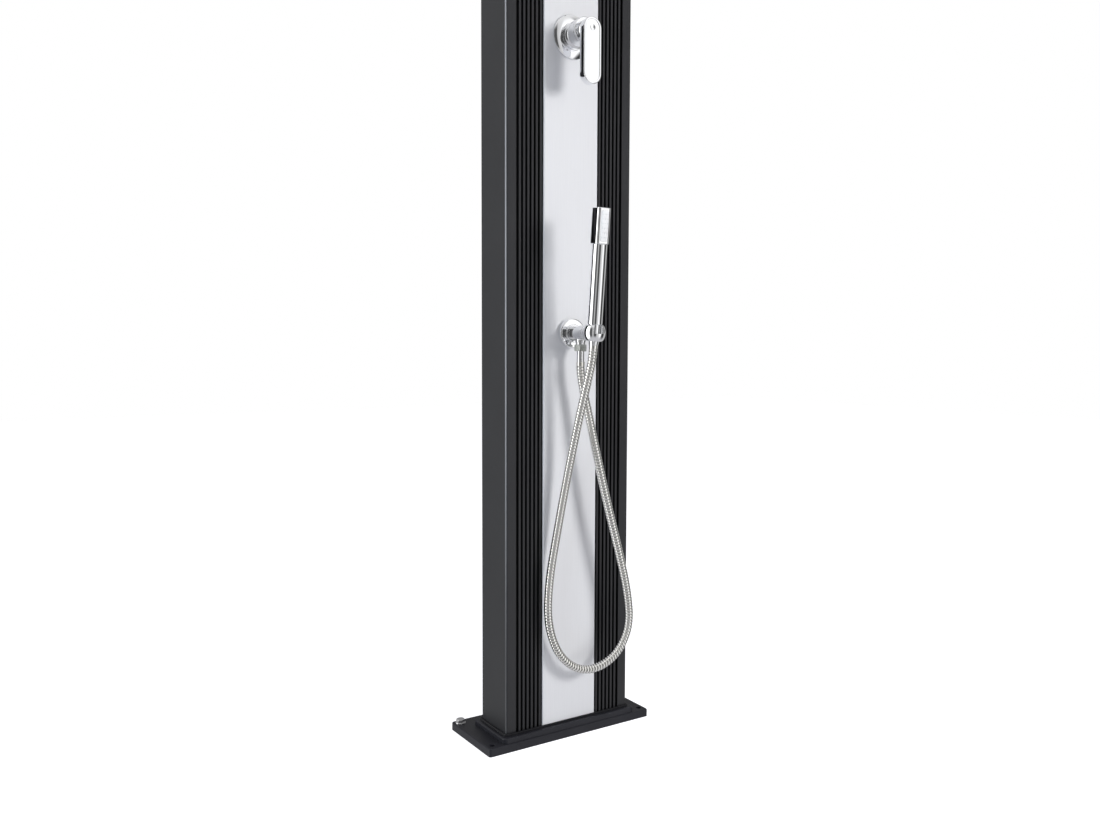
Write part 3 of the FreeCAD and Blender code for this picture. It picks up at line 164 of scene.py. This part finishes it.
class Surface:
    """A Principled material with a few procedural inputs in the object's own coordinates."""

    def __init__(self, name, colour, roughness, metallic=0.0):
        self.material = bpy.data.materials.new(name)
        self.material.use_nodes = True
        self.tree = self.material.node_tree
        self.shader = self.tree.nodes["Principled BSDF"]
        self.shader.inputs["Base Color"].default_value = (*colour, 1.0)
        self.shader.inputs["Roughness"].default_value = roughness
        self.shader.inputs["Metallic"].default_value = metallic
        self.material.diffuse_color = (*colour, 1.0)
        self.normal = None

    def node(self, kind, **settings):
        """New node of a kind, with its settings."""
        made = self.tree.nodes.new(kind)
        for key, value in settings.items():
            setattr(made, key, value)
        return made

    def link(self, source, target):
        self.tree.links.new(source, target)

    def place(self, stretch=(1, 1, 1)):
        """The object's own coordinates in metres, stretched along an axis."""
        coordinates = self.node("ShaderNodeTexCoord")
        mapping = self.node("ShaderNodeMapping")
        mapping.inputs["Scale"].default_value = stretch
        self.link(coordinates.outputs["Object"], mapping.inputs["Vector"])
        return mapping.outputs["Vector"]

    def axis(self, name):
        """One of the object's own coordinates in metres."""
        parts = self.node("ShaderNodeSeparateXYZ")
        self.link(self.place(), parts.inputs[0])
        return parts.outputs[name]

    def product(self, first, second):
        """Two sockets or numbers, multiplied."""
        return math_node(self.tree, "MULTIPLY", first, second)

    def tint(self, share, colour):
        """Blend the base colour, as it is so far, towards another by a share."""
        socket = self.shader.inputs["Base Color"]
        made = self.node("ShaderNodeMix", data_type="RGBA")
        self.link(share, made.inputs["Factor"])
        self.link(socket.links[0].from_socket, made.inputs["A"])
        made.inputs["B"].default_value = (*colour, 1.0)
        self.link(made.outputs["Result"], socket)

    def noise(self, per_metre, detail=2.0, stretch=(1, 1, 1)):
        """Soft noise from 0 to 1, with about so many bumps to the metre."""
        texture = self.node("ShaderNodeTexNoise")
        texture.inputs["Scale"].default_value = per_metre
        texture.inputs["Detail"].default_value = detail
        self.link(self.place(stretch), texture.inputs["Vector"])
        return texture.outputs["Fac"]

    def spread(self, fac, low, high, start=0.3, stop=0.7):
        """Map a 0 to 1 pattern to a range of values."""
        mapped = self.node("ShaderNodeMapRange")
        mapped.inputs["From Min"].default_value = start
        mapped.inputs["From Max"].default_value = stop
        mapped.inputs["To Min"].default_value = low
        mapped.inputs["To Max"].default_value = high
        self.link(fac, mapped.inputs["Value"])
        return mapped.outputs["Result"]

    def vary_roughness(self, fac, low, high):
        """Spread the roughness over a range by a pattern."""
        self.link(self.spread(fac, low, high), self.shader.inputs["Roughness"])

    def vary_colour(self, fac, first, second):
        """Blend two colours by a pattern."""
        ramp = self.node("ShaderNodeValToRGB")
        ramp.color_ramp.elements[0].position = 0.3
        ramp.color_ramp.elements[0].color = (*first, 1.0)
        ramp.color_ramp.elements[1].position = 0.7
        ramp.color_ramp.elements[1].color = (*second, 1.0)
        self.link(fac, ramp.inputs["Fac"])
        self.link(ramp.outputs["Color"], self.shader.inputs["Base Color"])

    def round_edges(self, radius):
        """Soften sharp edges in the shading, as a real edge radius does."""
        bevel = self.node("ShaderNodeBevel", samples=6)
        bevel.inputs["Radius"].default_value = radius
        self.normal = bevel.outputs["Normal"]
        self.link(self.normal, self.shader.inputs["Normal"])

    def bump(self, fac, depth, strength=1.0):
        """Raise the surface by a pattern, depth in metres, on top of what is there already."""
        bump = self.node("ShaderNodeBump")
        bump.inputs["Strength"].default_value = strength
        bump.inputs["Distance"].default_value = depth
        self.link(fac, bump.inputs["Height"])
        if self.normal:
            self.link(self.normal, bump.inputs["Normal"])
        self.normal = bump.outputs["Normal"]
        self.link(self.normal, self.shader.inputs["Normal"])


# ---- materials, one for each slot of the record ----

def powder_coat():
    """Anthracite powder coat: fine orange peel, painted shade darkening the grooves between the
    ribs, and a painted highlight along the column's two front corners, weaker low down."""
    coat = Surface("powder_coat", (0.022, 0.022, 0.024), 0.40)
    coat.shader.inputs["Specular IOR Level"].default_value = 0.32
    coat.vary_colour(coat.noise(9, 3), (0.020, 0.020, 0.022), (0.024, 0.024, 0.026))
    coat.vary_roughness(coat.noise(1400, 2), 0.34, 0.46)
    aside = math_node(coat.tree, "ABSOLUTE", coat.axis("X"))
    depth = coat.axis("Y")
    # Painted shade: the grooves between the ribs are darkened to near black.
    in_ribs = coat.spread(aside, 1, 0, *RIBS_END_X)
    groove_shade_depth = coat.spread(depth, 0, 1, *CREST_TO_GROOVE_Y)
    coat.tint(coat.product(in_ribs, groove_shade_depth), (0.003, 0.003, 0.004))
    # Painted highlight: a pale line down the two front corners, weaker towards the bottom.
    off_front = coat.spread(aside, 0, 1, *CORNER_X)
    off_side = coat.spread(depth, 1, 0, *CORNER_Y)
    highlight_fade = coat.spread(coat.axis("Z"), 0.15, 1, *HIGHLIGHT_FADE_Z)
    corner_highlight = coat.product(coat.product(off_side, off_front), highlight_fade)
    coat.tint(corner_highlight, (0.42, 0.42, 0.43))
    coat.round_edges(0.0006)
    coat.bump(coat.noise(1700, 3), 0.00006, 0.5)
    return coat.material


def base_coat():
    """Darker powder coat of the plate and plinth, coarser in grain."""
    coat = Surface("base_coat", (0.016, 0.016, 0.020), 0.42)
    coat.shader.inputs["Specular IOR Level"].default_value = 0.30
    coat.vary_colour(coat.noise(14, 3), (0.014, 0.014, 0.018), (0.020, 0.020, 0.025))
    coat.vary_roughness(coat.noise(900, 2), 0.36, 0.50)
    coat.round_edges(0.0009)
    coat.bump(coat.noise(1100, 3), 0.00010, 0.5)
    return coat.material


def panel_satin():
    """Satin anodised aluminium, brushed along the panel."""
    satin = Surface("panel_satin", (0.79, 0.79, 0.80), 0.42, metallic=0.30)
    lines = satin.noise(1, 3, stretch=(3200, 3200, 14))
    satin.vary_colour(lines, (0.77, 0.77, 0.785), (0.82, 0.82, 0.835))
    satin.vary_roughness(lines, 0.38, 0.47)
    satin.round_edges(0.0005)
    satin.bump(lines, 0.00002, 0.25)
    return satin.material


def polished(name, colour, roughness):
    """Plated metal: very slight waviness and a breath of uneven polish."""
    metal = Surface(name, colour, roughness, metallic=1.0)
    metal.vary_roughness(metal.noise(160, 3), 0.7 * roughness, 1.5 * roughness)
    metal.round_edges(0.0004)
    metal.bump(metal.noise(70, 1), 0.00008, 0.12)
    return metal.material


def chrome():
    """Slightly cool chrome of the fittings."""
    return polished("chrome", (0.90, 0.905, 0.92), 0.045)


def hose_metal():
    """Polished strip of the hose, with painted shade in the seam between its turns."""
    strip = Surface("hose_metal", (0.84, 0.83, 0.80), 0.16, metallic=1.0)
    strip.vary_roughness(strip.noise(420, 3), 0.07, 0.16)
    # Painted shade: the strip is darkened in the seam by the groove's depth.
    seam = strip.node("ShaderNodeAttribute", attribute_name="seam")
    strip.vary_colour(seam.outputs["Fac"], (0.92, 0.91, 0.88), (0.12, 0.12, 0.11))
    return strip.material


def brushed_metal(name, colour, roughness):
    """Bare or zinc-plated metal with fine crossed scratches."""
    metal = Surface(name, colour, roughness, metallic=1.0)
    grain = metal.noise(900, 4, stretch=(1, 1, 0.15))
    metal.vary_roughness(grain, roughness - 0.07, roughness + 0.09)
    metal.vary_colour(metal.noise(60, 3), tuple(0.90 * c for c in colour), colour)
    metal.round_edges(0.0003)
    metal.bump(grain, 0.00002, 0.3)
    return metal.material


def moulded(name, colour, roughness, grain_per_metre, grain_depth):
    """Moulded plastic or rubber with an even grain."""
    plastic = Surface(name, colour, roughness)
    darker = tuple(0.88 * c for c in colour)
    plastic.vary_colour(plastic.noise(25, 3), darker, colour)
    plastic.vary_roughness(plastic.noise(600, 2), roughness - 0.06, roughness + 0.06)
    plastic.round_edges(0.0004)
    plastic.bump(plastic.noise(grain_per_metre, 2), grain_depth, 0.5)
    return plastic.material


def make_materials():
    """Slot name to material."""
    return {
        "powder_coat": powder_coat(),
        "base_coat": base_coat(),
        "panel_satin": panel_satin(),
        "chrome": chrome(),
        "nickel": brushed_metal("nickel", (0.44, 0.46, 0.44), 0.30),
        "hose_metal": hose_metal(),
        "stainless": brushed_metal("stainless", (0.80, 0.80, 0.81), 0.26),
        "zinc_steel": brushed_metal("zinc_steel", (0.58, 0.59, 0.61), 0.38),
        "brass": brushed_metal("brass", (0.74, 0.56, 0.29), 0.30),
        "copper_pipe": brushed_metal("copper_pipe", (0.76, 0.45, 0.33), 0.32),
        "tank_plastic": moulded("tank_plastic", (0.030, 0.030, 0.032), 0.50, 1200, 0.0001),
        "cap_plastic": moulded("cap_plastic", (0.026, 0.026, 0.030), 0.50, 1500, 0.00012),
        "seal_rubber": moulded("seal_rubber", (0.006, 0.006, 0.008), 0.72, 1800, 0.00005),
        "white_plastic": moulded("white_plastic", (0.92, 0.92, 0.92), 0.24, 300, 0.00003),
        "nozzle_rubber": moulded("nozzle_rubber", (0.80, 0.82, 0.81), 0.50, 900, 0.00004),
        "dark_nozzle": moulded("dark_nozzle", (0.07, 0.07, 0.075), 0.52, 900, 0.00004),
        "nylon": moulded("nylon", (0.72, 0.71, 0.67), 0.46, 500, 0.00005),
    }


MATERIALS = make_materials()


def dress_nodes():
    """Give every solid the material of its slot."""
    for part in frame["record"]["subparts"]:
        node = NODES[part["node"]]
        node.data.materials.clear()
        node.data.materials.append(MATERIALS[part["material_slot"]])


# ---- hose ----

def hose_spline():
    """The hose's line: a smooth curve with the route's points as its control points."""
    data = bpy.data.curves.new("hose_line", "CURVE")
    data.dimensions = "3D"
    data.resolution_u = 48
    spline = data.splines.new("NURBS")
    spline.points.add(len(HOSE_ROUTE) - 1)
    for point, place in zip(spline.points, HOSE_ROUTE):
        point.co = (*place, 1.0)
    spline.order_u = 3
    spline.use_endpoint_u = True
    return data


def read_points(data):
    """Points along a curve with no bevel."""
    holder = bpy.data.objects.new("hose_line_holder", data)
    mesh = bpy.data.meshes.new_from_object(holder)
    points = [v.co.copy() for v in mesh.vertices]
    bpy.data.objects.remove(holder)
    bpy.data.meshes.remove(mesh)
    return points


def even_steps(points, step):
    """The same line, divided into equal steps: (point, distance along it)."""
    lengths = [0.0]
    for a, b in zip(points, points[1:]):
        lengths.append(lengths[-1] + (b - a).length)
    total = lengths[-1]
    count = round(total / step)
    result = []
    index = 0
    for i in range(count + 1):
        wanted = total * i / count
        while index < len(points) - 2 and lengths[index + 1] < wanted:
            index += 1
        share = (wanted - lengths[index]) / (lengths[index + 1] - lengths[index])
        result.append((points[index].lerp(points[index + 1], share), wanted))
    return result, total


def strip_profile(turns):
    """Depth of the interlocked strip over one pitch, 0 on its rounded crown and 1 in its seam."""
    return 1 - abs(math.sin(math.pi * turns)) ** SEAM_SHARPNESS


def tube_mesh(name, steps, depth_at, sides):
    """Closed tube along steps, with a groove whose depth depends on distance and turn.
    The depth is kept on the vertices as "seam", for the painted shade in its colour."""
    mesh = bmesh.new()
    seam = mesh.verts.layers.float.new("seam")
    side = Vector((1, 0, 0))
    rings = []
    for i, (place, distance) in enumerate(steps):
        ahead = steps[min(i + 1, len(steps) - 1)][0]
        behind = steps[max(i - 1, 0)][0]
        along = (ahead - behind).normalized()
        side = (side - along * side.dot(along)).normalized()
        up = along.cross(side)
        ring = []
        for j in range(sides):
            turn = j / sides
            angle = 2 * math.pi * turn
            out = side * math.cos(angle) + up * math.sin(angle)
            depth = depth_at(distance, turn)
            vertex = mesh.verts.new(place + out * (HOSE_R - HOSE_GROOVE * depth))
            vertex[seam] = depth
            ring.append(vertex)
        rings.append(ring)
    for lower, upper in zip(rings, rings[1:]):
        for j in range(sides):
            k = (j + 1) % sides
            mesh.faces.new((lower[j], lower[k], upper[k], upper[j]))
    mesh.faces.new(list(reversed(rings[0])))
    mesh.faces.new(rings[-1])
    data = bpy.data.meshes.new(name)
    mesh.to_mesh(data)
    mesh.free()
    for face in data.polygons:
        face.use_smooth = len(face.vertices) == 4
    made = bpy.data.objects.new(name, data)
    bpy.context.scene.collection.objects.link(made)
    return made


def make_hose():
    """Ribbed hose with a plain crimped sleeve at each end."""
    points = read_points(hose_spline())
    steps, total = even_steps(points, HOSE_PITCH / RINGS_PER_PITCH)

    def depth_at(distance, turn):
        if distance < HOSE_SLEEVE or distance > total - HOSE_SLEEVE:
            return 0
        return strip_profile(distance / HOSE_PITCH + turn)

    hose = tube_mesh("ribbed_hose", steps, depth_at, HOSE_SIDES)
    hose.data.materials.append(MATERIALS["hose_metal"])
    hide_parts("shower_hose")
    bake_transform(hose)
    return hose


# ---- studio ----

def mix_by_ray(tree, ray, plain, special):
    """Shade plain, but special for one kind of ray."""
    path = tree.nodes.new("ShaderNodeLightPath")
    mix = tree.nodes.new("ShaderNodeMixShader")
    tree.links.new(path.outputs[ray], mix.inputs["Fac"])
    tree.links.new(plain, mix.inputs[1])
    tree.links.new(special, mix.inputs[2])
    return mix.outputs["Shader"]


def light_shader(tree, kind, colour, strength):
    """Background or emission node with its colour and strength."""
    node = tree.nodes.new(kind)
    node.inputs["Color"].default_value = (*colour, 1.0)
    node.inputs["Strength"].default_value = strength
    return node


def map_range(tree, value, low, high):
    """Smooth 0 to 1 between two values."""
    made = tree.nodes.new("ShaderNodeMapRange")
    made.interpolation_type = "SMOOTHSTEP"
    made.inputs["From Min"].default_value = low
    made.inputs["From Max"].default_value = high
    tree.links.new(value, made.inputs["Value"])
    return made.outputs["Result"]


def mix_towards(tree, share, first, level):
    """Blend a colour towards a light of the given level in red, green and blue."""
    made = tree.nodes.new("ShaderNodeMix")
    made.data_type = "RGBA"
    tree.links.new(share, made.inputs["Factor"])
    tree.links.new(first, made.inputs["A"])
    made.inputs["B"].default_value = (*(part / STUDIO_PEAK for part in level), 1.0)
    return made.outputs["Result"]


def screen_colour(tree):
    """Colour of the studio's screens in a direction: bands by bearing, ceiling and ground."""
    direction = tree.nodes.new("ShaderNodeTexCoord")
    parts = tree.nodes.new("ShaderNodeSeparateXYZ")
    tree.links.new(direction.outputs["Generated"], parts.inputs[0])
    ahead = math_node(tree, "MULTIPLY", parts.outputs["Y"], -1.0)
    bearing = math_node(tree, "ARCTAN2", parts.outputs["X"], ahead)
    share = math_node(tree, "MULTIPLY", bearing, 1 / (2 * math.pi))
    turn = math_node(tree, "ADD", share, 0.5)
    ramp = tree.nodes.new("ShaderNodeValToRGB")
    stops = ramp.color_ramp.elements
    for degrees, level in STUDIO:
        position = (degrees + 180) / 360
        stop = stops[0] if degrees == STUDIO[0][0] else stops.new(position)
        stop.position = position
        grey = level / STUDIO_PEAK
        stop.color = (grey, grey, grey, 1.0)
    stops[-1].color = stops[0].color
    tree.links.new(turn, ramp.inputs["Fac"])
    fall = math_node(tree, "MULTIPLY", parts.outputs["Z"], -1.0)
    above = map_range(tree, parts.outputs["Z"], *CEILING_RISE)
    below = map_range(tree, fall, *GROUND_FALL)
    banded = mix_towards(tree, above, ramp.outputs["Color"], CEILING)
    return mix_towards(tree, below, banded, GROUND)


def make_world():
    """White to the camera, soft grey light on the object, and a studio of screens for gloss."""
    world = bpy.data.worlds.new("studio")
    world.use_nodes = True
    tree = world.node_tree
    tree.nodes.clear()
    output = tree.nodes.new("ShaderNodeOutputWorld")
    white = light_shader(tree, "ShaderNodeBackground", WHITE, 1.0)
    ambient = light_shader(tree, "ShaderNodeBackground", AMBIENT_COLOUR, AMBIENT)
    screens = light_shader(tree, "ShaderNodeBackground", WHITE, STUDIO_PEAK)
    tree.links.new(screen_colour(tree), screens.inputs["Color"])
    shaded = mix_by_ray(tree, "Is Glossy Ray", ambient.outputs[0], screens.outputs[0])
    shaded = mix_by_ray(tree, "Is Transmission Ray", shaded, white.outputs[0])
    shaded = mix_by_ray(tree, "Is Camera Ray", shaded, white.outputs[0])
    tree.links.new(shaded, output.inputs["Surface"])
    bpy.context.scene.world = world


def make_floor():
    """Wide pale floor that burns out to white but keeps the contact shadow."""
    mesh = bmesh.new()
    bmesh.ops.create_grid(mesh, x_segments=1, y_segments=1, size=FLOOR_HALF)
    data = bpy.data.meshes.new("studio_floor")
    mesh.to_mesh(data)
    mesh.free()
    floor = bpy.data.objects.new("studio_floor", data)
    floor.location.z = -FLOOR_DROP
    floor.visible_glossy = False
    bpy.context.scene.collection.objects.link(floor)

    material = bpy.data.materials.new("studio_floor")
    material.use_nodes = True
    tree = material.node_tree
    tree.nodes.clear()
    output = tree.nodes.new("ShaderNodeOutputMaterial")
    paper = tree.nodes.new("ShaderNodeBsdfDiffuse")
    paper.inputs["Color"].default_value = (*FLOOR_COLOUR, 1.0)
    glow = light_shader(tree, "ShaderNodeEmission", WHITE, FLOOR_GLOW)
    seen = tree.nodes.new("ShaderNodeAddShader")
    tree.links.new(paper.outputs[0], seen.inputs[0])
    tree.links.new(glow.outputs[0], seen.inputs[1])
    shaded = mix_by_ray(tree, "Is Camera Ray", paper.outputs[0], seen.outputs[0])
    tree.links.new(shaded, output.inputs["Surface"])
    data.materials.append(material)


def area_lamp(name, place, target, size, power, colour):
    """Square soft lamp aimed at a point, unseen in polished metal."""
    data = bpy.data.lights.new(name, "AREA")
    data.size = size
    data.energy = power
    data.color = colour
    lamp = bpy.data.objects.new(name, data)
    lamp.location = place
    aim = Vector(target) - Vector(place)
    lamp.rotation_euler = aim.to_track_quat("-Z", "Y").to_euler()
    lamp.visible_glossy = False
    bpy.context.scene.collection.objects.link(lamp)


def make_camera():
    """Camera at the photograph's place and angle."""
    data = bpy.data.cameras.new("photo_camera")
    data.sensor_width = SENSOR_WIDTH
    data.lens = FOCAL_PIXELS * SENSOR_WIDTH / PHOTO_WIDTH
    data.clip_start = 0.05
    data.clip_end = 60.0
    camera = bpy.data.objects.new("photo_camera", data)
    yaw = math.radians(CAMERA_YAW)
    down = math.radians(CAMERA_DOWN)
    forward = Vector((math.sin(yaw) * math.cos(down), math.cos(yaw) * math.cos(down),
                      -math.sin(down)))
    level = Vector((math.cos(yaw), -math.sin(yaw), 0))
    turn = Quaternion(forward, math.radians(-CAMERA_ROLL))
    right = turn @ level
    up = right.cross(forward)
    camera.matrix_world = Matrix((right, up, -forward)).transposed().to_4x4()
    camera.location = CAMERA_PLACE
    bpy.context.scene.collection.objects.link(camera)
    bpy.context.scene.camera = camera


# ---- scene ----

bpy.context.scene.view_settings.view_transform = "Standard"
make_camera()
dress_nodes()
make_hose()
make_world()
make_floor()
for lamp_settings in LAMPS:
    area_lamp(*lamp_settings)
